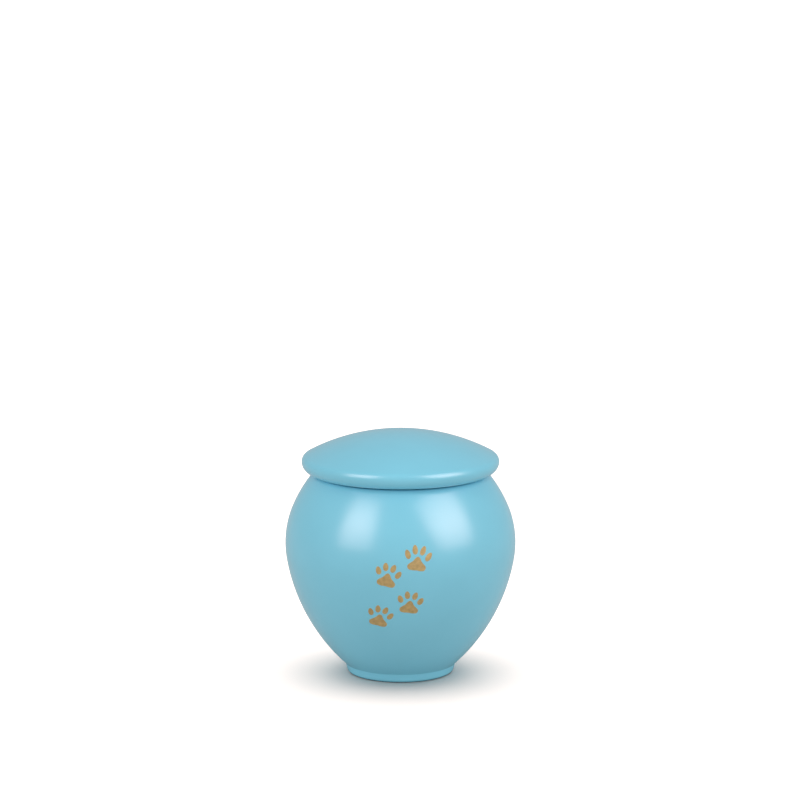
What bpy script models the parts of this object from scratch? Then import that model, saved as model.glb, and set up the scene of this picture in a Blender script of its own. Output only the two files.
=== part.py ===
"""A small funeral urn: a hollow, round-bellied body on a turned foot, with a domed lid that lifts off.

Metres, +Z up. The origin is the centre of the foot's underside, and +Z is the axis of turning.
A section point is (distance from the axis, height). An arc is (centre, radius), and an angle on it is
its outward normal's angle above the horizontal. A hollow arc has a negative radius.
"""

from math import acos, atan2, ceil, copysign, cos, pi, radians, sin, sqrt

import bpy

# Body, outside
BELLY_RADIUS = 0.0500
BELLY_HEIGHT = 0.0573
BELLY_CURVE = 0.0407  # radius of the belly's arc in section
BELLY_TOP_ANGLE = radians(23.0)  # normal where the shoulder arc takes over
BELLY_BOTTOM_ANGLE = radians(-9.6)  # normal where the flank arc takes over
MOUTH_HEIGHT = 0.0879
SEAT_RADIUS = 0.0373  # outer radius of the level ring that the lid rests on
MOUTH_EDGE = 0.0010  # rounding from that ring into the shoulder

# Body, inside
BODY_WALL = 0.0020
SEAT_WIDTH = 0.0015
FLOOR_FILLET = 0.0030

# Foot
FOOT_HEIGHT = 0.0033  # to the crease with the flank
FOOT_RADIUS = 0.0234  # at the underside
FOOT_DRAFT = 0.0005  # how much wider the foot is at the crease
FOOT_CREASE = 0.0006  # hollow rounding there
FOOT_EDGE = 0.0003
FOOT_RING_WIDTH = 0.0042
FOOT_RECESS = 0.0012

# Lid
LID_HEIGHT = 0.0180  # from the mouth's edge to the crown
LID_OVERHANG = 0.0055  # past the seat's radius
LID_WALL = 0.0020
RIM_UPPER_CURVE = 0.0031
RIM_LOWER_CURVE = 0.0049
SKIRT_DEPTH = 0.0060
SKIRT_CLEARANCE = 0.0005  # to the mouth, all round
SKIRT_CHAMFER = 0.0006
REST_GAP = 0.0003  # between the lid and the mouth that it rests on

# Facets
SEGMENTS = 56  # round the axis
OUTER_CHORD = 0.00004  # how far a facet may lie off the true outer curve
INNER_CHORD = 0.00009
MERGE = 0.00001
SMALLEST_CURVE = 0.0002

# Colours, in linear RGB
BODY_COLOUR = (0.19, 0.56, 0.69, 1.0)
LID_COLOUR = (0.19, 0.56, 0.69, 1.0)
LACQUER_ROUGHNESS = 0.28


def on_arc(arc, angle):
    """The point of an arc whose normal has this angle."""
    (r, z), radius = arc
    return r + radius * cos(angle), z + radius * sin(angle)


def angle_of(arc, point):
    """The angle at which an arc passes a point."""
    (r, z), radius = arc
    return atan2((point[1] - z) / radius, (point[0] - r) / radius)


def inside(arc, wall):
    """The same arc, moved inwards by a wall."""
    centre, radius = arc
    return centre, radius - wall


def trace(arc, start, end, chord):
    """Points along an arc, few enough that each facet stays within chord of it."""
    steps = ceil(abs(end - start) / (2 * acos(1 - chord / max(abs(arc[1]), 2 * chord))))
    steps = max(steps, 1)
    return [on_arc(arc, start + (end - start) * i / steps) for i in range(steps + 1)]


def tangent_arc(point, angle, end):
    """The arc that leaves a point with this normal and runs smoothly into another, smaller arc."""
    (r, z), end_radius = end
    normal = cos(angle), sin(angle)
    way = r - point[0], z - point[1]
    along_normal = way[0] * normal[0] + way[1] * normal[1]
    radius = (end_radius**2 - way[0] ** 2 - way[1] ** 2) / (2 * (along_normal + end_radius))
    return (point[0] - radius * normal[0], point[1] - radius * normal[1]), radius


def rounding_on_level(arc, level, radius):
    """The rounding that lies on a level line and touches an arc from inside."""
    (r, z), size = arc
    height = level + radius
    reach = copysign(sqrt((size - radius) ** 2 - (height - z) ** 2), size)
    return (r + reach, height), radius


def body_arcs():
    """The body's outer section: mouth edge, shoulder, belly, flank and crease, each tangent to the next."""
    edge = (SEAT_RADIUS, MOUTH_HEIGHT - MOUTH_EDGE), MOUTH_EDGE
    belly = (BELLY_RADIUS - BELLY_CURVE, BELLY_HEIGHT), BELLY_CURVE
    crease = (FOOT_RADIUS + FOOT_DRAFT + FOOT_CREASE, FOOT_HEIGHT), -FOOT_CREASE
    shoulder = tangent_arc(on_arc(belly, BELLY_TOP_ANGLE), BELLY_TOP_ANGLE, edge)
    flank = tangent_arc(on_arc(belly, BELLY_BOTTOM_ANGLE), BELLY_BOTTOM_ANGLE, crease)
    return edge, shoulder, belly, flank, crease


def mouth_radius():
    """The bored opening, inside the seat."""
    return SEAT_RADIUS - SEAT_WIDTH


def body_lining():
    """The inside of the body, from the middle of its floor up to the mouth."""
    edge, *outer, _ = body_arcs()
    shoulder, belly, flank = (inside(arc, BODY_WALL) for arc in outer)
    floor = FOOT_RECESS + BODY_WALL
    fillet = rounding_on_level(flank, floor, FLOOR_FILLET)
    flank_start = angle_of(flank, fillet[0])
    shoulder_end = angle_of(shoulder, edge[0])
    return [
        (0.0, floor),
        *trace(fillet, -pi / 2, flank_start, INNER_CHORD),
        *trace(flank, flank_start, BELLY_BOTTOM_ANGLE, INNER_CHORD)[1:],
        *trace(belly, BELLY_BOTTOM_ANGLE, BELLY_TOP_ANGLE, INNER_CHORD)[1:],
        *trace(shoulder, BELLY_TOP_ANGLE, shoulder_end, INNER_CHORD)[1:],
        (mouth_radius(), MOUTH_HEIGHT),
    ]


def foot_outline():
    """The foot, from its edge across the underside to the axis."""
    edge = (FOOT_RADIUS - FOOT_EDGE, FOOT_EDGE), FOOT_EDGE
    recess = FOOT_RADIUS - FOOT_RING_WIDTH
    return [
        *trace(edge, 0.0, -pi / 2, OUTER_CHORD),
        (recess, 0.0),
        (recess - FOOT_RECESS, FOOT_RECESS),
        (0.0, FOOT_RECESS),
    ]


def body_outline():
    """The body's whole section: up the lining, over the mouth's edge, down the outside and under the foot."""
    edge, shoulder, belly, flank, crease = body_arcs()
    shoulder_start = angle_of(shoulder, edge[0])
    flank_end = angle_of(flank, crease[0])
    return [
        *body_lining(),
        *trace(edge, pi / 2, shoulder_start, OUTER_CHORD),
        *trace(shoulder, shoulder_start, BELLY_TOP_ANGLE, OUTER_CHORD)[1:],
        *trace(belly, BELLY_TOP_ANGLE, BELLY_BOTTOM_ANGLE, OUTER_CHORD)[1:],
        *trace(flank, BELLY_BOTTOM_ANGLE, flank_end, OUTER_CHORD)[1:],
        *trace(crease, flank_end, 0.0, OUTER_CHORD)[1:],
        *foot_outline(),
    ]


def lid_outline():
    """The lid's section, from the crown out over the rim, down the skirt and back up its inside.

    Heights are above the face that rests on the mouth.
    """
    rim = SEAT_RADIUS + LID_OVERHANG
    upper = (rim - RIM_UPPER_CURVE, RIM_LOWER_CURVE), RIM_UPPER_CURVE
    lower = (rim - RIM_LOWER_CURVE, RIM_LOWER_CURVE), RIM_LOWER_CURVE
    rise = LID_HEIGHT - RIM_LOWER_CURVE
    across = rim - RIM_UPPER_CURVE
    dome_curve = (across**2 + rise**2 - RIM_UPPER_CURVE**2) / (2 * (rise - RIM_UPPER_CURVE))
    dome = (0.0, LID_HEIGHT - dome_curve), dome_curve
    dome_end = angle_of(dome, upper[0])

    skirt = mouth_radius() - SKIRT_CLEARANCE
    skirt_foot = -SKIRT_DEPTH
    hollow_dome = inside(dome, LID_WALL)
    hollow_upper = upper[0], max(RIM_UPPER_CURVE - LID_WALL, SMALLEST_CURVE)
    hollow_lower = lower[0], max(RIM_LOWER_CURVE - LID_WALL, SMALLEST_CURVE)
    return [
        *trace(dome, pi / 2, dome_end, OUTER_CHORD),
        *trace(upper, dome_end, 0.0, OUTER_CHORD)[1:],
        *trace(lower, 0.0, -pi / 2, OUTER_CHORD)[1:],
        (skirt, 0.0),
        (skirt, skirt_foot + SKIRT_CHAMFER),
        (skirt - SKIRT_CHAMFER, skirt_foot),
        (skirt - LID_WALL, skirt_foot),
        (skirt - LID_WALL, LID_WALL),
        *trace(hollow_lower, -pi / 2, 0.0, INNER_CHORD),
        *trace(hollow_upper, 0.0, dome_end, INNER_CHORD)[1:],
        *trace(hollow_dome, dome_end, pi / 2, INNER_CHORD)[1:],
    ]


def lacquer(name, colour):
    """A smooth, satin-gloss lacquer."""
    material = bpy.data.materials.new(name)
    material.use_nodes = True
    shader = material.node_tree.nodes["Principled BSDF"]
    shader.inputs["Base Color"].default_value = colour
    shader.inputs["Roughness"].default_value = LACQUER_ROUGHNESS
    shader.inputs["Metallic"].default_value = 0.0
    material.diffuse_color = colour
    return material


def turned(name, outline, material, collection):
    """An object made by turning a section once round the Z axis."""
    mesh = bpy.data.meshes.new(name)
    edges = [(i, i + 1) for i in range(len(outline) - 1)]
    mesh.from_pydata([(r, 0.0, z) for r, z in outline], edges, [])
    mesh.materials.append(material)
    piece = bpy.data.objects.new(name, mesh)
    collection.objects.link(piece)
    screw = piece.modifiers.new("Turning", "SCREW")
    screw.axis = "Z"
    screw.angle = 2 * pi
    screw.steps = SEGMENTS
    screw.render_steps = SEGMENTS
    screw.use_merge_vertices = True
    screw.merge_threshold = MERGE
    screw.use_smooth_shade = True
    return piece


def clear_scene():
    for piece in list(bpy.data.objects):
        bpy.data.objects.remove(piece, do_unlink=True)


def main():
    clear_scene()
    collection = bpy.data.collections.new("funeral_urn")
    bpy.context.scene.collection.children.link(collection)
    turned("urn_body", body_outline(), lacquer("body_lacquer", BODY_COLOUR), collection)
    lid = turned("lid", lid_outline(), lacquer("lid_lacquer", LID_COLOUR), collection)
    lid.location.z = MOUTH_HEIGHT + REST_GAP


main()
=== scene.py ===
"""A small funeral urn with a lift-off lid, in turquoise lacquer with gold paw prints, on a pale studio floor.

Metres, +Z up. The urn stands on its foot at the origin, and the paw prints face -Y. A section point is
(distance from the axis, height). An arc is (centre, radius), and an angle on it is its outward normal's
angle above the horizontal. A hollow arc has a negative radius.
"""

from bisect import bisect_right
from math import acos, atan2, ceil, copysign, cos, pi, radians, sin, sqrt

import bmesh
import bpy
from bpy.props import FloatProperty, FloatVectorProperty, IntProperty, PointerProperty
from mathutils import Matrix, Vector


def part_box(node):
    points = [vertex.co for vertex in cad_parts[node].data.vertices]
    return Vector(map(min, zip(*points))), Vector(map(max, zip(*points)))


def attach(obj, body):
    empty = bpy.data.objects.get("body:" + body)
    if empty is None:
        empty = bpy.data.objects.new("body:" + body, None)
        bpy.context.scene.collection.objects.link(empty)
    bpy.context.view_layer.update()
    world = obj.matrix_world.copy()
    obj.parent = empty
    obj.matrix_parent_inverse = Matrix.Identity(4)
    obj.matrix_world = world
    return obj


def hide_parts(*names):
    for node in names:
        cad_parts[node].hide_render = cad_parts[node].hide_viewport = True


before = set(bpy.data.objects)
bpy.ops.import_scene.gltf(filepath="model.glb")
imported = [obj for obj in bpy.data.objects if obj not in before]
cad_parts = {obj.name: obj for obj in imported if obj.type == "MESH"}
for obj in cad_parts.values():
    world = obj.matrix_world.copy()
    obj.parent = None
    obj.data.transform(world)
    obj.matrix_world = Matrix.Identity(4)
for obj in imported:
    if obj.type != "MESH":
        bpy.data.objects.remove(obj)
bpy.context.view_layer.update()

bl_info = {
    "name": "Paw Print Urn",
    "version": (1, 0, 0),
    "blender": (4, 5, 0),
    "location": "3D View > Sidebar > Urn",
    "description": "Builds a lacquered urn with a lift-off lid and gold paw prints",
    "category": "Add Mesh",
}

BODY = "root"
VESSEL_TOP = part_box("urn_body")[1].z
SEAT_GAP = 0.0003
LID_UNDERSIDE = VESSEL_TOP + SEAT_GAP
LID_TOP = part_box("lid")[1].z

# Fineness of the turned surfaces
CHORD = 0.000004
ROUNDING = 0.00025
ROUNDING_STEP = radians(9)
MERGE = 0.000001

# The part of a noise's range over which a colour or a value goes from its one limit to its other
NOISE_LOW = 0.3
NOISE_HIGH = 0.7


def on_arc(arc, angle):
    """The point of an arc whose normal has this angle."""
    (r, z), radius = arc
    return r + radius * cos(angle), z + radius * sin(angle)


def angle_of(arc, point):
    """The angle at which an arc passes a point."""
    (r, z), radius = arc
    return atan2((point[1] - z) / radius, (point[0] - r) / radius)


def inside(arc, wall):
    """The same arc, moved inwards by a wall."""
    centre, radius = arc
    return centre, radius - wall


def trace(arc, start, end):
    """Points along an arc, close enough together that the turned surface looks smooth."""
    steps = ceil(abs(end - start) / (2 * acos(1 - CHORD / abs(arc[1]))))
    steps = max(steps, 1)
    return [on_arc(arc, start + (end - start) * i / steps) for i in range(steps + 1)]


def tangent_arc(point, angle, end):
    """The arc that leaves a point with this normal and runs smoothly into another, smaller arc."""
    (r, z), end_radius = end
    normal = cos(angle), sin(angle)
    way = r - point[0], z - point[1]
    along_normal = way[0] * normal[0] + way[1] * normal[1]
    radius = (end_radius**2 - way[0] ** 2 - way[1] ** 2) / (2 * (along_normal + end_radius))
    return (point[0] - radius * normal[0], point[1] - radius * normal[1]), radius


def rounding_on_level(arc, level, radius):
    """The rounding that lies on a level line and touches an arc from inside."""
    (r, z), size = arc
    height = level + radius
    reach = copysign(sqrt((size - radius) ** 2 - (height - z) ** 2), size)
    return (r + reach, height), radius


def corner(r, z, radius=ROUNDING):
    """A corner of a section, to be rounded off."""
    return r, z, radius


def rounded(outline):
    """An outline with each of its corners turned into a small arc between its two neighbours."""
    points = []
    for i, item in enumerate(outline):
        here = Vector(item[:2])
        if len(item) == 2:
            points.append(tuple(here))
            continue
        back = (Vector(outline[i - 1][:2]) - here).normalized()
        ahead = (Vector(outline[i + 1][:2]) - here).normalized()
        half = acos(max(-1.0, min(1.0, back.dot(ahead)))) / 2
        radius = item[2]
        reach = radius * cos(half) / sin(half)
        centre = here + (back + ahead).normalized() * radius / sin(half)
        start, end = here + back * reach - centre, here + ahead * reach - centre
        steps = ceil((pi - 2 * half) / ROUNDING_STEP)
        for k in range(steps + 1):
            way = start.lerp(end, k / steps).normalized() * radius
            points.append(tuple(centre + way))
    return points


def vessel_arcs(sizes):
    """The vessel's outer section: mouth edge, shoulder, belly, flank and crease, each tangent to the next."""
    edge = (sizes.seat_radius, VESSEL_TOP - sizes.mouth_edge), sizes.mouth_edge
    belly = (sizes.belly_radius - sizes.belly_curve, sizes.belly_height), sizes.belly_curve
    crease_r = sizes.foot_radius + sizes.foot_draft + sizes.foot_crease
    crease = (crease_r, sizes.foot_height), -sizes.foot_crease
    top, bottom = sizes.belly_top_angle, sizes.belly_bottom_angle
    shoulder = tangent_arc(on_arc(belly, top), top, edge)
    flank = tangent_arc(on_arc(belly, bottom), bottom, crease)
    return edge, shoulder, belly, flank, crease


def vessel_skin(sizes):
    """The vessel's visible outside in section, from the mouth's edge down to the crease above the foot."""
    edge, shoulder, belly, flank, crease = vessel_arcs(sizes)
    shoulder_start = angle_of(shoulder, edge[0])
    flank_end = angle_of(flank, crease[0])
    top, bottom = sizes.belly_top_angle, sizes.belly_bottom_angle
    return [
        *trace(edge, pi / 2, shoulder_start),
        *trace(shoulder, shoulder_start, top)[1:],
        *trace(belly, top, bottom)[1:],
        *trace(flank, bottom, flank_end)[1:],
        *trace(crease, flank_end, 0.0)[1:],
    ]


def vessel_lining(sizes):
    """The inside of the vessel, from the middle of its floor up to the mouth."""
    edge, *outer, _ = vessel_arcs(sizes)
    shoulder, belly, flank = (inside(arc, sizes.wall) for arc in outer)
    floor = sizes.foot_recess + sizes.wall
    fillet = rounding_on_level(flank, floor, sizes.floor_fillet)
    flank_start = angle_of(flank, fillet[0])
    shoulder_end = angle_of(shoulder, edge[0])
    top, bottom = sizes.belly_top_angle, sizes.belly_bottom_angle
    return [
        (0.0, floor),
        *trace(fillet, -pi / 2, flank_start),
        *trace(flank, flank_start, bottom)[1:],
        *trace(belly, bottom, top)[1:],
        *trace(shoulder, top, shoulder_end)[1:],
        corner(sizes.seat_radius - sizes.seat_width, VESSEL_TOP),
    ]


def foot_outline(sizes):
    """The foot, from its edge across the underside to the axis."""
    edge = (sizes.foot_radius - sizes.foot_edge, sizes.foot_edge), sizes.foot_edge
    recess = sizes.foot_radius - sizes.foot_ring_width
    return [
        *trace(edge, 0.0, -pi / 2),
        corner(recess, 0.0),
        corner(recess - sizes.foot_recess, sizes.foot_recess),
        (0.0, sizes.foot_recess),
    ]


def lid_outline(sizes, seat):
    """The lid's section, from the crown out over the rim, down the skirt and back up its inside."""
    base = LID_UNDERSIDE
    rim = seat.seat_radius + sizes.overhang
    upper = (rim - sizes.rim_upper_curve, base + sizes.rim_lower_curve), sizes.rim_upper_curve
    gap_rounding = sizes.shadow_gap / 3
    lower_curve = sizes.rim_lower_curve - sizes.shadow_gap
    lower = (rim - lower_curve, base + sizes.rim_lower_curve), lower_curve
    rise = LID_TOP - upper[0][1]
    across = upper[0][0]
    dome_curve = (across**2 + rise**2 - upper[1] ** 2) / (2 * (rise - upper[1]))
    dome = (0.0, LID_TOP - dome_curve), dome_curve
    dome_end = angle_of(dome, upper[0])

    skirt = seat.seat_radius - seat.seat_width - sizes.skirt_clearance
    skirt_foot = base - sizes.skirt_depth
    hollow_dome = inside(dome, sizes.wall)
    hollow_upper, hollow_lower = inside(upper, sizes.wall), inside(lower, sizes.wall)
    return [
        *trace(dome, pi / 2, dome_end),
        *trace(upper, dome_end, 0.0)[1:],
        *trace(lower, 0.0, -pi / 2)[1:],
        corner(seat.seat_radius, base + sizes.shadow_gap, gap_rounding),
        corner(seat.seat_radius, base, gap_rounding),
        corner(skirt, base),
        corner(skirt, skirt_foot + sizes.skirt_chamfer),
        corner(skirt - sizes.skirt_chamfer, skirt_foot),
        corner(skirt - sizes.wall, skirt_foot),
        corner(skirt - sizes.wall, base + sizes.wall),
        *trace(hollow_lower, -pi / 2, 0.0),
        *trace(hollow_upper, 0.0, dome_end)[1:],
        *trace(hollow_dome, dome_end, pi / 2)[1:],
    ]


def collection(name):
    """A collection of the scene, made when it is first asked for."""
    found = bpy.data.collections.get(name)
    if found is None:
        found = bpy.data.collections.new(name)
        bpy.context.scene.collection.children.link(found)
    return found


def turned(name, outline, steps, material):
    """An object made by turning a section once round the Z axis."""
    mesh = bpy.data.meshes.new(name)
    points = rounded(outline)
    edges = [(i, i + 1) for i in range(len(points) - 1)]
    mesh.from_pydata([(r, 0.0, z) for r, z in points], edges, [])
    mesh.materials.append(material)
    piece = bpy.data.objects.new(name, mesh)
    collection("urn").objects.link(piece)
    screw = piece.modifiers.new("Turning", "SCREW")
    screw.axis = "Z"
    screw.angle = 2 * pi
    screw.steps = steps
    screw.render_steps = steps
    screw.use_merge_vertices = True
    screw.merge_threshold = MERGE
    screw.use_smooth_shade = True
    return piece


def finished(piece, slot_name, *nodes):
    """Puts a piece on the urn's body and hides the nodes that it stands for. Its slot name is not used."""
    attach(piece, BODY)
    if nodes:
        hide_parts(*nodes)


class Skin:
    """The vessel's outside as a place to print on: across is round the axis, up is along the section."""

    def __init__(self, sizes):
        outline = vessel_skin(sizes)[::-1]
        self.points = [Vector(point) for point in outline]
        self.reach = [0.0]
        for a, b in zip(self.points, self.points[1:]):
            self.reach.append(self.reach[-1] + (b - a).length)
        self.zero = self.reach_at(sizes.print_zero_height)

    def reach_at(self, height):
        """How far up the section a height is."""
        i = next(k for k, point in enumerate(self.points) if point.y > height) - 1
        low, high = self.points[i].y, self.points[i + 1].y
        share = (height - low) / (high - low)
        return self.reach[i] + share * (self.reach[i + 1] - self.reach[i])

    def at(self, across, up, lift):
        """A point of the skin, lifted off it along its normal."""
        reach = self.zero + up
        i = min(max(bisect_right(self.reach, reach) - 1, 1), len(self.points) - 3)
        share = (reach - self.reach[i]) / (self.reach[i + 1] - self.reach[i])
        here = self.points[i].lerp(self.points[i + 1], share)
        before = self.points[i + 1] - self.points[i - 1]
        after = self.points[i + 2] - self.points[i]
        along = before.lerp(after, share).normalized()
        turn = across / here.x
        r, z = here.x + lift * along.y, here.y - lift * along.x
        return Vector((r * sin(turn), -r * cos(turn), z))


def toe(x, y, tilt, stretch, prints):
    """The outline of a toe, narrower at its outer end. Its tilt is its long axis from upright."""
    turn = Matrix.Rotation(tilt, 2)
    points = []
    for k in range(prints.toe_points):
        angle = 2 * pi * k / prints.toe_points
        narrow = 1 - prints.toe_taper * sin(angle)
        along = prints.toe_half_length * stretch * sin(angle)
        flat = Vector((prints.toe_half_width * narrow * cos(angle), along))
        points.append(Vector((x, y)) + turn @ flat)
    return Vector((x, y)), points


def toes(stretch, prints):
    """The four toes of a print, in pairs about its middle line."""
    found = []
    for reach, angle_off, tilt in (
        (prints.inner_toe_reach, prints.inner_toe_angle, prints.inner_toe_tilt),
        (prints.outer_toe_reach, prints.outer_toe_angle, prints.outer_toe_tilt),
    ):
        away = reach + (stretch - 1) * prints.toe_half_length
        for side in (-1, 1):
            x, y = side * away * sin(angle_off), away * cos(angle_off)
            found.append(toe(x, y, -side * tilt, stretch, prints))
    return found


# The pad's right half, from its tip to the middle of its base, in metres from its middle
PAD_HALF = (
    (0.00000, 0.00355),
    (0.00076, 0.00320),
    (0.00132, 0.00238),
    (0.00202, 0.00137),
    (0.00306, 0.00047),
    (0.00384, -0.00038),
    (0.00391, -0.00135),
    (0.00330, -0.00220),
    (0.00190, -0.00246),
    (0.00000, -0.00235),
)


def pad(prints):
    """The outline of the pad: a soft triangle with two lobes at its base."""
    right = [Vector(point) for point in PAD_HALF]
    knots = right + [Vector((-point.x, point.y)) for point in right[-2:0:-1]]
    points = []
    for i in range(len(knots)):
        a, b, c, d = (knots[(i + k) % len(knots)] for k in (-1, 0, 1, 2))
        for k in range(prints.pad_points):
            t = k / prints.pad_points
            bend = 2 * a - 5 * b + 4 * c - d
            twist = 3 * b - a - 3 * c + d
            points.append(0.5 * (2 * b + (c - a) * t + bend * t * t + twist * t**3))
    return Vector((0.0, 0.0)), points[::-1]


def print_film(bm, skin, centre, outline, place, prints):
    """A closed film of gold on the skin: its face, its rim, and its back, which is sunk in the lacquer."""
    x, y, turn = place
    rotation = Matrix.Rotation(turn, 2)
    rings = prints.rings

    def laid(flat, lift):
        point = Vector((x, y)) + rotation @ flat
        return bm.verts.new(skin.at(point.x, point.y, lift))

    def sheet(lift):
        middle = laid(centre, lift)
        loops = [[laid(centre.lerp(p, k / rings), lift) for p in outline] for k in range(1, rings + 1)]
        return middle, loops

    count = len(outline)
    face_middle, face = sheet(prints.film)
    back_middle, back = sheet(-prints.sunk)
    for i in range(count):
        j = (i + 1) % count
        bm.faces.new((face_middle, face[0][i], face[0][j]))
        bm.faces.new((back_middle, back[0][j], back[0][i]))
        for inner, outer in zip(face, face[1:]):
            bm.faces.new((inner[i], outer[i], outer[j], inner[j]))
        for inner, outer in zip(back, back[1:]):
            bm.faces.new((inner[j], outer[j], outer[i], inner[i]))
        rim = bm.faces.new((face[-1][i], back[-1][i], back[-1][j], face[-1][j]))
        rim.smooth = False


def node(tree, kind, place, **settings):
    """A shader node at a place in the editor. Settings whose names are sockets set their values."""
    made = tree.nodes.new(kind)
    made.location = place
    for name, value in settings.items():
        socket = made.inputs.get(name.replace("_", " ").title())
        if socket is not None and not hasattr(made, name):
            socket.default_value = value
        else:
            setattr(made, name, value)
    return made


def blank_material(name, colour):
    """A new material with its shader, and its object coordinates in metres."""
    material = bpy.data.materials.new(name)
    material.use_nodes = True
    material.diffuse_color = (*colour, 1.0)
    tree = material.node_tree
    shader = tree.nodes["Principled BSDF"]
    coordinates = node(tree, "ShaderNodeTexCoord", (-1200, 0))
    return material, tree, shader, coordinates.outputs["Object"]


def speckle(tree, place, spot, where, detail=2.0):
    """Soft noise whose spots are about this wide, in metres."""
    noise = node(tree, "ShaderNodeTexNoise", place, scale=1 / spot, detail=detail)
    tree.links.new(where, noise.inputs["Vector"])
    return noise.outputs["Fac"]


def varied_colour(tree, place, fac, dark, light):
    """A colour that drifts between two close ones."""
    ramp = node(tree, "ShaderNodeValToRGB", place)
    limits = (NOISE_LOW, dark), (NOISE_HIGH, light)
    for element, (position, colour) in zip(ramp.color_ramp.elements, limits):
        element.position = position
        element.color = (*colour, 1.0)
    tree.links.new(fac, ramp.inputs["Fac"])
    return ramp.outputs["Color"]


def varied_value(tree, place, fac, low, high):
    """A value that drifts between two limits."""
    span = node(tree, "ShaderNodeMapRange", place)
    span.inputs["From Min"].default_value = NOISE_LOW
    span.inputs["From Max"].default_value = NOISE_HIGH
    span.inputs["To Min"].default_value = low
    span.inputs["To Max"].default_value = high
    tree.links.new(fac, span.inputs["Value"])
    return span.outputs["Result"]


def relief(tree, place, height, depth, shader):
    """A shallow relief in the shader's surface, in metres."""
    bump = node(tree, "ShaderNodeBump", place)
    bump.inputs["Strength"].default_value = 1.0
    bump.inputs["Distance"].default_value = depth
    tree.links.new(height, bump.inputs["Height"])
    tree.links.new(bump.outputs["Normal"], shader.inputs["Normal"])


def lacquer_material(finish):
    """Turquoise lacquer: an even, satin-gloss coat with a faint drift of colour and a fine orange peel."""
    colour = Vector(finish.colour)
    material, tree, shader, where = blank_material("turquoise_lacquer", colour)
    drift = speckle(tree, (-900, 250), finish.drift_size, where)
    dark, light = colour * (1 - finish.drift), colour * (1 + finish.drift)
    shade = varied_colour(tree, (-600, 250), drift, dark, light)
    tree.links.new(shade, shader.inputs["Base Color"])
    polish = speckle(tree, (-900, -50), finish.polish_size, where, detail=3.0)
    rough = finish.roughness
    gloss = varied_value(tree, (-600, -50), polish, rough - finish.polish, rough + finish.polish)
    tree.links.new(gloss, shader.inputs["Roughness"])
    peel = speckle(tree, (-900, -350), finish.peel_size, where)
    relief(tree, (-300, -350), peel, finish.peel_depth, shader)
    shader.inputs["IOR"].default_value = finish.ior
    return material


def gold_material(prints):
    """Gold print: a matt bronze-gold film with small darker patches."""
    colour = Vector(prints.colour)
    material, tree, shader, where = blank_material("gold_print", colour)
    patches = speckle(tree, (-900, 250), prints.patch_size, where, detail=4.0)
    dark, light = colour * (1 - prints.patchy), colour * (1 + prints.patchy)
    shade = varied_colour(tree, (-600, 250), patches, dark, light)
    tree.links.new(shade, shader.inputs["Base Color"])
    grain = speckle(tree, (-900, -50), prints.grain_size, where, detail=3.0)
    rough = prints.roughness
    gloss = varied_value(tree, (-600, -50), grain, rough - prints.grain, rough + prints.grain)
    tree.links.new(gloss, shader.inputs["Roughness"])
    relief(tree, (-300, -350), grain, prints.grain_depth, shader)
    shader.inputs["Metallic"].default_value = prints.metallic
    return material


def floor_material(stage):
    """The studio floor: matt, pale, with the faintest cloudiness. It throws back less light than it shows."""
    colour = Vector(stage.floor_colour)
    material, tree, shader, where = blank_material("pale_floor", colour)
    cloud = speckle(tree, (-900, 250), stage.cloud_size, where)
    dark, light = colour * (1 - stage.cloud), colour * (1 + stage.cloud)
    shade = varied_colour(tree, (-600, 250), cloud, dark, light)
    path = node(tree, "ShaderNodeLightPath", (-600, 600))
    seen = varied_value(tree, (-400, 600), path.outputs["Is Camera Ray"], stage.floor_bounce, 1.0)
    scaled = node(tree, "ShaderNodeVectorMath", (-200, 400))
    scaled.operation = "SCALE"
    tree.links.new(shade, scaled.inputs[0])
    tree.links.new(seen, scaled.inputs["Scale"])
    tree.links.new(scaled.outputs["Vector"], shader.inputs["Base Color"])
    shader.inputs["Roughness"].default_value = stage.floor_roughness
    shader.inputs["Specular IOR Level"].default_value = stage.floor_specular
    return material


def length(title, text, default):
    """A length that the user can change, in metres."""
    return FloatProperty(name=title, description=text, default=default, unit="LENGTH", precision=5)


def angle(title, text, degrees):
    """An angle that the user can change."""
    return FloatProperty(name=title, description=text, default=radians(degrees), subtype="ANGLE")


def share(title, text, default):
    """A share from 0 to 1 that the user can change."""
    return FloatProperty(name=title, description=text, default=default, subtype="FACTOR", min=0, max=1)


def points(title, text, default, least):
    """A number of points, rings or facets that the user can change."""
    return IntProperty(name=title, description=text, default=default, min=least)


def brightness(title, text, default):
    """A light's brightness that the user can change. At 1, a white floor under it looks white."""
    return FloatProperty(name=title, description=text, default=default, min=0)


def colour_of(title, text, default):
    """A colour that the user can change, in linear RGB."""
    return FloatVectorProperty(name=title, description=text, default=default, subtype="COLOR", min=0, max=1)


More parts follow.
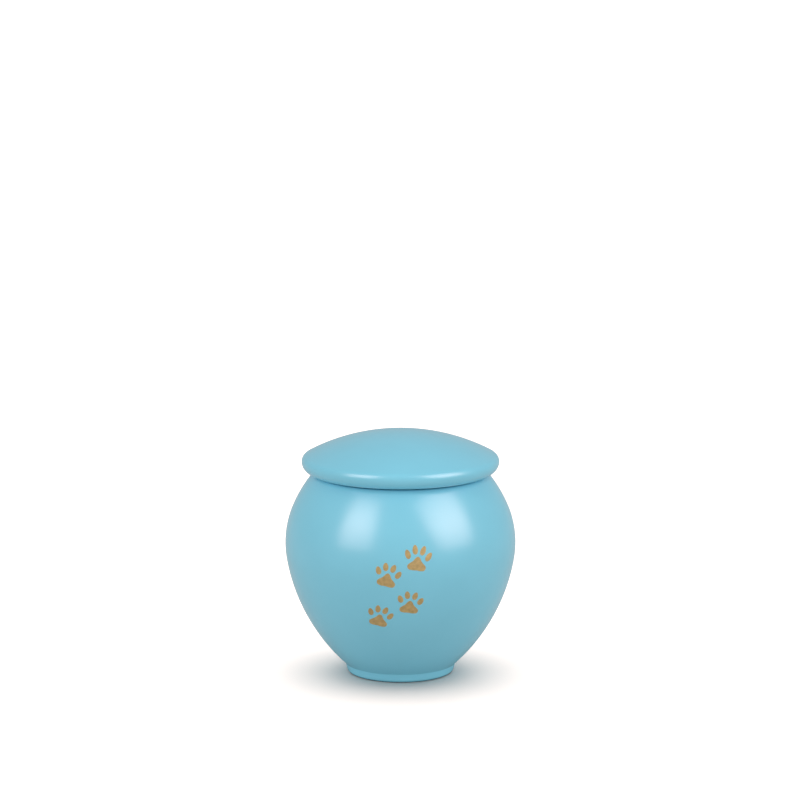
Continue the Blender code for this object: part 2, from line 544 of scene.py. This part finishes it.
class UrnVesselSizes(bpy.types.PropertyGroup):
    """Sizes of the turned vessel."""

    belly_radius: length("Belly radius", "Half of the widest diameter", 0.0500)
    belly_height: length("Belly height", "Height of the widest place", 0.0573)
    belly_curve: length("Belly curve", "Radius of the belly's arc in section", 0.0407)
    belly_top_angle: angle("Belly top angle", "Normal where the shoulder arc takes over", 23.0)
    belly_bottom_angle: angle("Belly bottom angle", "Normal where the flank arc takes over", -9.6)
    seat_radius: length("Seat radius", "Outer radius of the level ring that the lid rests on", 0.0373)
    seat_width: length("Seat width", "Width of that ring", 0.0015)
    mouth_edge: length("Mouth edge", "Rounding from the seat into the shoulder", 0.0010)
    wall: length("Wall", "Thickness of the vessel's wall", 0.0020)
    floor_fillet: length("Floor fillet", "Rounding inside, round the floor", 0.0030)
    foot_height: length("Foot height", "Height of the crease above the foot", 0.0036)
    foot_radius: length("Foot radius", "Radius at the underside", 0.0234)
    foot_draft: length("Foot draft", "How much wider the foot is at the crease", 0.0005)
    foot_crease: length("Foot crease", "Hollow rounding at the crease", 0.0006)
    foot_edge: length("Foot edge", "Rounding of the foot's lower edge", 0.0018)
    foot_ring_width: length("Foot ring", "Width of the ring that the urn stands on", 0.0042)
    foot_recess: length("Foot recess", "Depth of the hollow inside the ring", 0.0012)
    print_zero_height: length("Print height", "Height from which the prints' places are measured", 0.0452)
    steps: points("Steps", "Facets round the axis", 256, 16)


class UrnLidSizes(bpy.types.PropertyGroup):
    """Sizes of the domed lid."""

    overhang: length("Overhang", "How far the rim stands out past the seat", 0.0055)
    wall: length("Wall", "Thickness of the lid's wall", 0.0020)
    rim_upper_curve: length("Upper rim", "Radius of the rim's upper half in section", 0.0031)
    rim_lower_curve: length("Lower rim", "Radius of the rim's lower half in section", 0.0049)
    shadow_gap: length("Shadow gap", "How far the rim stays clear of the mouth outside the seat", 0.0003)
    skirt_depth: length("Skirt depth", "How far the skirt reaches into the mouth", 0.0060)
    skirt_clearance: length("Skirt clearance", "Room between the skirt and the mouth", 0.0005)
    skirt_chamfer: length("Skirt chamfer", "Bevel at the skirt's lower edge", 0.0006)
    steps: points("Steps", "Facets round the axis", 256, 16)


class UrnLacquerFinish(bpy.types.PropertyGroup):
    """Colour and gloss of the lacquer."""

    colour: colour_of("Colour", "Colour of the lacquer", (0.228, 0.635, 0.805))
    roughness: share("Roughness", "How soft its highlights are", 0.24)
    ior: FloatProperty(name="IOR", description="How strongly it mirrors", default=1.5, min=1.0, max=2.5)
    drift: share("Drift", "How much its colour drifts", 0.015)
    drift_size: length("Drift size", "Width of that drift's spots", 0.022)
    polish: share("Polish", "How much its gloss varies", 0.02)
    polish_size: length("Polish size", "Width of the spots of more and less gloss", 0.006)
    peel_size: length("Peel size", "Width of the orange peel's dimples", 0.0011)
    peel_depth: length("Peel depth", "Depth of the orange peel's dimples", 0.000001)


class UrnPawPrints(bpy.types.PropertyGroup):
    """Shape and finish of the paw prints."""

    toe_half_length: length("Toe half length", "Half of a toe's length", 0.00180)
    toe_half_width: length("Toe half width", "Half of a toe's width", 0.00114)
    toe_taper: share("Toe taper", "How much narrower a toe is at its outer end", 0.14)
    inner_toe_reach: length("Inner toe reach", "From the pad's middle to an inner toe", 0.00626)
    inner_toe_angle: angle("Inner toe angle", "Its direction from the print's middle line", 15.4)
    inner_toe_tilt: angle("Inner toe tilt", "Its lean away from the middle line", 12.0)
    outer_toe_reach: length("Outer toe reach", "From the pad's middle to an outer toe", 0.00575)
    outer_toe_angle: angle("Outer toe angle", "Its direction from the print's middle line", 48.7)
    outer_toe_tilt: angle("Outer toe tilt", "Its lean away from the middle line", 25.0)
    film: length("Film", "How far the print stands proud of the lacquer", 0.00003)
    sunk: length("Sunk", "How deep the print's back lies in the lacquer", 0.00012)
    toe_points: points("Toe points", "Points round a toe", 40, 8)
    pad_points: points("Pad points", "Points between two knots of the pad", 5, 1)
    rings: points("Rings", "Rings of faces in each patch", 8, 1)
    colour: colour_of("Colour", "Colour of the print", (0.52, 0.37, 0.155))
    metallic: share("Metallic", "How metallic the print is", 0.25)
    roughness: share("Roughness", "How soft its highlights are", 0.42)
    patchy: share("Patchy", "How much its colour varies", 0.16)
    patch_size: length("Patch size", "Width of its patches", 0.0016)
    grain: share("Grain", "How much its gloss varies", 0.06)
    grain_size: length("Grain size", "Width of its grain", 0.0004)
    grain_depth: length("Grain depth", "Depth of its grain", 0.000004)


class UrnStage(bpy.types.PropertyGroup):
    """Floor, light and camera."""

    floor_size: length("Floor size", "Width of the floor", 16.0)
    floor_colour: colour_of("Floor colour", "Colour of the floor", (0.865, 0.79, 0.755))
    floor_bounce: share("Floor bounce", "Share of its brightness that it throws onto the urn", 0.38)
    floor_roughness: share("Floor roughness", "How matt the floor is", 0.9)
    floor_specular: share("Floor specular", "How much the floor mirrors", 0.1)
    cloud: share("Cloud", "How much the floor's colour drifts", 0.005)
    cloud_size: length("Cloud size", "Width of that drift's spots", 0.35)
    world: brightness("Surroundings", "Brightness of the white room", 0.5)
    left_highlight: brightness("Left highlight", "Brightness of the left mirrored softbox", 6.7)
    right_highlight: brightness("Right highlight", "Brightness of the right mirrored softbox", 7.2)
    left_fill: brightness("Left fill", "Brightness of the light from the left", 2.9)
    right_fill: brightness("Right fill", "Brightness of the light from the right", 2.45)
    skylight: brightness("Skylight", "Brightness of the light from above", 1.3)
    skylight_width: angle("Skylight width", "How wide the light from above is", 88.0)
    skylight_tilt: angle("Skylight tilt", "How far it comes from behind the urn", 10.0)
    foot_glow: brightness("Foot glow", "Brightness of the floor's glow round the foot", 0.27)
    glow_width: length("Glow width", "Width of that glow", 0.12)
    glow_height: length("Glow height", "How far above the floor it lies", 0.0004)
    lens: FloatProperty(name="Lens", description="Focal length in millimetres", default=159.05)
    camera_distance: length("Camera distance", "From the urn's axis to the camera", 1.5)
    camera_height: length("Camera height", "Height of the camera", 0.39303)
    camera_aside: length("Camera aside", "How far the camera stands to the right", -0.000198)
    camera_pitch: angle("Camera pitch", "How far the camera looks down", 10.3223)


# The prints from the top down: middle of the pad round the axis and up the section, the print's turn, and how
# much longer its toes are than the others'
PRINT_PLACES = (
    (0.00693, 0.01323, radians(-9.0), 1.14),
    (-0.00596, 0.00615, radians(-13.0), 1.0),
    (0.00364, -0.00652, radians(-9.0), 1.0),
    (-0.00939, -0.01342, radians(-13.5), 1.0),
)


class URN_OT_vessel(bpy.types.Operator):
    """Turns the lacquered vessel"""

    bl_idname = "urn.vessel"
    bl_label = "Vessel"

    def execute(self, context):
        sizes = context.scene.urn_vessel
        outline = [*vessel_lining(sizes), *vessel_skin(sizes), *foot_outline(sizes)]
        material = lacquer_material(context.scene.urn_lacquer)
        finished(turned("lacquered_vessel", outline, sizes.steps, material), "lacquer", "urn_body")
        return {"FINISHED"}


class URN_OT_lid(bpy.types.Operator):
    """Turns the domed lid and sets it on the vessel's mouth"""

    bl_idname = "urn.lid"
    bl_label = "Lid"

    def execute(self, context):
        sizes = context.scene.urn_lid
        outline = lid_outline(sizes, context.scene.urn_vessel)
        material = lacquer_material(context.scene.urn_lacquer)
        finished(turned("lacquered_lid", outline, sizes.steps, material), "lacquer", "lid")
        return {"FINISHED"}


class URN_OT_paw_prints(bpy.types.Operator):
    """Lays the gold paw prints on the vessel's front"""

    bl_idname = "urn.paw_prints"
    bl_label = "Paw prints"

    def execute(self, context):
        prints = context.scene.urn_prints
        skin = Skin(context.scene.urn_vessel)
        material = gold_material(prints)
        for number, (x, y, turn, stretch) in enumerate(PRINT_PLACES, 1):
            bm = bmesh.new()
            for centre, outline in [pad(prints), *toes(stretch, prints)]:
                print_film(bm, skin, centre, outline, (x, y, turn), prints)
            mesh = bpy.data.meshes.new(f"paw_print_{number}")
            bm.to_mesh(mesh)
            bm.free()
            mesh.materials.append(material)
            piece = bpy.data.objects.new(f"paw_print_{number}", mesh)
            collection("urn").objects.link(piece)
            finished(piece, "gold_print")
        return {"FINISHED"}


# The softboxes that light the urn. facing is the azimuth and elevation that each shines from, and lean is its
# turn in its own plane, in degrees. spread is its left, right, bottom and top in that plane, in metres.
SOFTBOXES = {
    "left": {"facing": (-39.6, 9.9), "lean": -3.0, "spread": (-0.41, 0.20, -0.07, 0.87)},
    "right": {"facing": (54.6, 35.1), "lean": -4.0, "spread": (-0.35, 0.38, -0.53, 0.385)},
}
SOFTBOX_DISTANCE = 0.9
FILL_BEHIND = 0.02
HIGHLIGHT_COLOUR = (1.0, 0.74, 0.71)
URN_MIDDLE = Vector((0.0, 0.0, 0.06))

# How a softbox fades: the share of its width, and of its height, that the fade at each end takes, and its
# strength at the ends
FADE_ACROSS = 0.25, 0.6
FADE_UPWARD = 0.5, 0.5


def product(tree, place, a, b):
    """Two values multiplied."""
    times = node(tree, "ShaderNodeMath", place)
    times.operation = "MULTIPLY"
    tree.links.new(a, times.inputs[0])
    tree.links.new(b, times.inputs[1])
    return times.outputs["Value"]


def hot_middle(tree, place, along, fade_share, edge):
    """A light's strength along one of its sides: full in the middle, and edge at both ends of that side."""
    x, y = place
    ends = []
    for row, end in ((80, 0.0), (-80, 1.0)):
        fade = node(tree, "ShaderNodeMapRange", (x, y + row))
        fade.interpolation_type = "SMOOTHSTEP"
        fade.inputs["From Min"].default_value = end
        fade.inputs["From Max"].default_value = abs(end - fade_share)
        fade.inputs["To Min"].default_value = edge
        tree.links.new(along, fade.inputs["Value"])
        ends.append(fade.outputs["Result"])
    return product(tree, (x + 200, y), *ends)


def softbox(name, radiance, mirrored):
    """A flat light panel that faces the urn and fades towards its edges.

    It either shows in the lacquer as a highlight or lights its colour, so that each has its own strength. The
    one that lights stands just behind the one that shows, so that neither takes the other's place.
    """
    box = SOFTBOXES[name]
    azimuth, elevation = (radians(value) for value in box["facing"])
    out = Vector((sin(azimuth) * cos(elevation), -cos(azimuth) * cos(elevation), sin(elevation)))
    level = Vector((cos(azimuth), sin(azimuth), 0.0))
    turn = Matrix.Rotation(radians(-box["lean"]), 3, out)
    side, up = turn @ level, turn @ out.cross(level)
    left, right, bottom, top = box["spread"]

    title = f"{name}_{'highlight' if mirrored else 'fill'}"
    light = bpy.data.lights.new(title, "AREA")
    light.shape = "RECTANGLE"
    light.size = right - left
    light.size_y = top - bottom
    light.energy = radiance * pi * light.size * light.size_y
    if mirrored:
        light.color = HIGHLIGHT_COLOUR
    light.use_nodes = True
    tree = light.node_tree
    position = node(tree, "ShaderNodeNewGeometry", (-1000, 0))
    split = node(tree, "ShaderNodeSeparateXYZ", (-800, 0))
    tree.links.new(position.outputs["Parametric"], split.inputs["Vector"])
    across = hot_middle(tree, (-600, 200), split.outputs["X"], *FADE_ACROSS)
    upward = hot_middle(tree, (-600, -200), split.outputs["Y"], *FADE_UPWARD)
    tree.links.new(product(tree, (-200, 0), across, upward), tree.nodes["Emission"].inputs["Strength"])

    lamp = bpy.data.objects.new(title, light)
    bpy.context.scene.collection.objects.link(lamp)
    distance = SOFTBOX_DISTANCE if mirrored else SOFTBOX_DISTANCE + FILL_BEHIND
    centre = URN_MIDDLE + out * distance + side * (left + right) / 2 + up * (bottom + top) / 2
    lamp.matrix_world = Matrix.Translation(centre) @ Matrix((side, up, out)).transposed().to_4x4()
    lamp.visible_camera = False
    lamp.visible_glossy = mirrored
    lamp.visible_diffuse = not mirrored
    lamp.light_linking.receiver_collection = collection("urn")


def foot_glow(stage):
    """The light that the bright floor round the foot throws up at the urn."""
    light = bpy.data.lights.new("foot_glow", "AREA")
    light.shape = "DISK"
    light.size = stage.glow_width
    light.energy = stage.foot_glow * pi * pi * stage.glow_width**2 / 4
    lamp = bpy.data.objects.new("foot_glow", light)
    bpy.context.scene.collection.objects.link(lamp)
    lamp.location.z = stage.glow_height
    lamp.rotation_euler.x = pi
    lamp.visible_camera = False
    lamp.visible_glossy = False
    lamp.light_linking.receiver_collection = collection("urn")


def skylight(stage):
    """A wide, soft light on the floor from above and a little behind: it makes the shadow round the foot."""
    light = bpy.data.lights.new("skylight", "SUN")
    light.energy = stage.skylight * pi
    light.angle = stage.skylight_width
    lamp = bpy.data.objects.new("skylight", light)
    lamp.rotation_euler.x = -stage.skylight_tilt
    bpy.context.scene.collection.objects.link(lamp)
    lamp.light_linking.receiver_collection = collection("stage")


class URN_OT_stage(bpy.types.Operator):
    """Sets up the floor, the light and the camera"""

    bl_idname = "urn.stage"
    bl_label = "Stage"

    def execute(self, context):
        stage = context.scene.urn_stage
        half = stage.floor_size / 2
        mesh = bpy.data.meshes.new("floor")
        corners = [(-half, -half, 0.0), (half, -half, 0.0), (half, half, 0.0), (-half, half, 0.0)]
        mesh.from_pydata(corners, [], [(0, 1, 2, 3)])
        mesh.materials.append(floor_material(stage))
        floor = bpy.data.objects.new("floor", mesh)
        collection("stage").objects.link(floor)

        world = bpy.data.worlds.new("white_room")
        world.use_nodes = True
        background = world.node_tree.nodes["Background"]
        background.inputs["Color"].default_value = (1.0, 1.0, 1.0, 1.0)
        background.inputs["Strength"].default_value = stage.world
        context.scene.world = world

        skylight(stage)
        foot_glow(stage)
        softbox("left", stage.left_highlight, True)
        softbox("right", stage.right_highlight, True)
        softbox("left", stage.left_fill, False)
        softbox("right", stage.right_fill, False)

        eye = bpy.data.cameras.new("camera")
        eye.lens = stage.lens
        camera = bpy.data.objects.new("camera", eye)
        camera.location = (stage.camera_aside, -stage.camera_distance, stage.camera_height)
        camera.rotation_euler = (pi / 2 - stage.camera_pitch, 0.0, 0.0)
        context.scene.collection.objects.link(camera)
        context.scene.camera = camera
        context.scene.view_settings.view_transform = "Standard"
        return {"FINISHED"}


class URN_PT_panel(bpy.types.Panel):
    """The urn's pieces and their sizes"""

    bl_idname = "URN_PT_panel"
    bl_label = "Paw Print Urn"
    bl_space_type = "VIEW_3D"
    bl_region_type = "UI"
    bl_category = "Urn"

    def draw(self, context):
        for operator, groups in (
            (URN_OT_vessel, ("urn_vessel", "urn_lacquer")),
            (URN_OT_lid, ("urn_lid",)),
            (URN_OT_paw_prints, ("urn_prints",)),
            (URN_OT_stage, ("urn_stage",)),
        ):
            box = self.layout.box()
            box.operator(operator.bl_idname)
            for group in groups:
                values = getattr(context.scene, group)
                for name in values.__annotations__:
                    box.prop(values, name)


GROUPS = {
    "urn_vessel": UrnVesselSizes,
    "urn_lid": UrnLidSizes,
    "urn_lacquer": UrnLacquerFinish,
    "urn_prints": UrnPawPrints,
    "urn_stage": UrnStage,
}
CLASSES = (*GROUPS.values(), URN_OT_vessel, URN_OT_lid, URN_OT_paw_prints, URN_OT_stage, URN_PT_panel)


def register():
    for cls in CLASSES:
        bpy.utils.register_class(cls)
    for name, group in GROUPS.items():
        setattr(bpy.types.Scene, name, PointerProperty(type=group))


def unregister():
    for name in GROUPS:
        delattr(bpy.types.Scene, name)
    for cls in reversed(CLASSES):
        bpy.utils.unregister_class(cls)


def main():
    """Builds the urn and its stage."""
    register()
    bpy.ops.urn.vessel()
    bpy.ops.urn.lid()
    bpy.ops.urn.paw_prints()
    bpy.ops.urn.stage()
    bpy.context.view_layer.update()


if __name__ == "__main__":
    main()
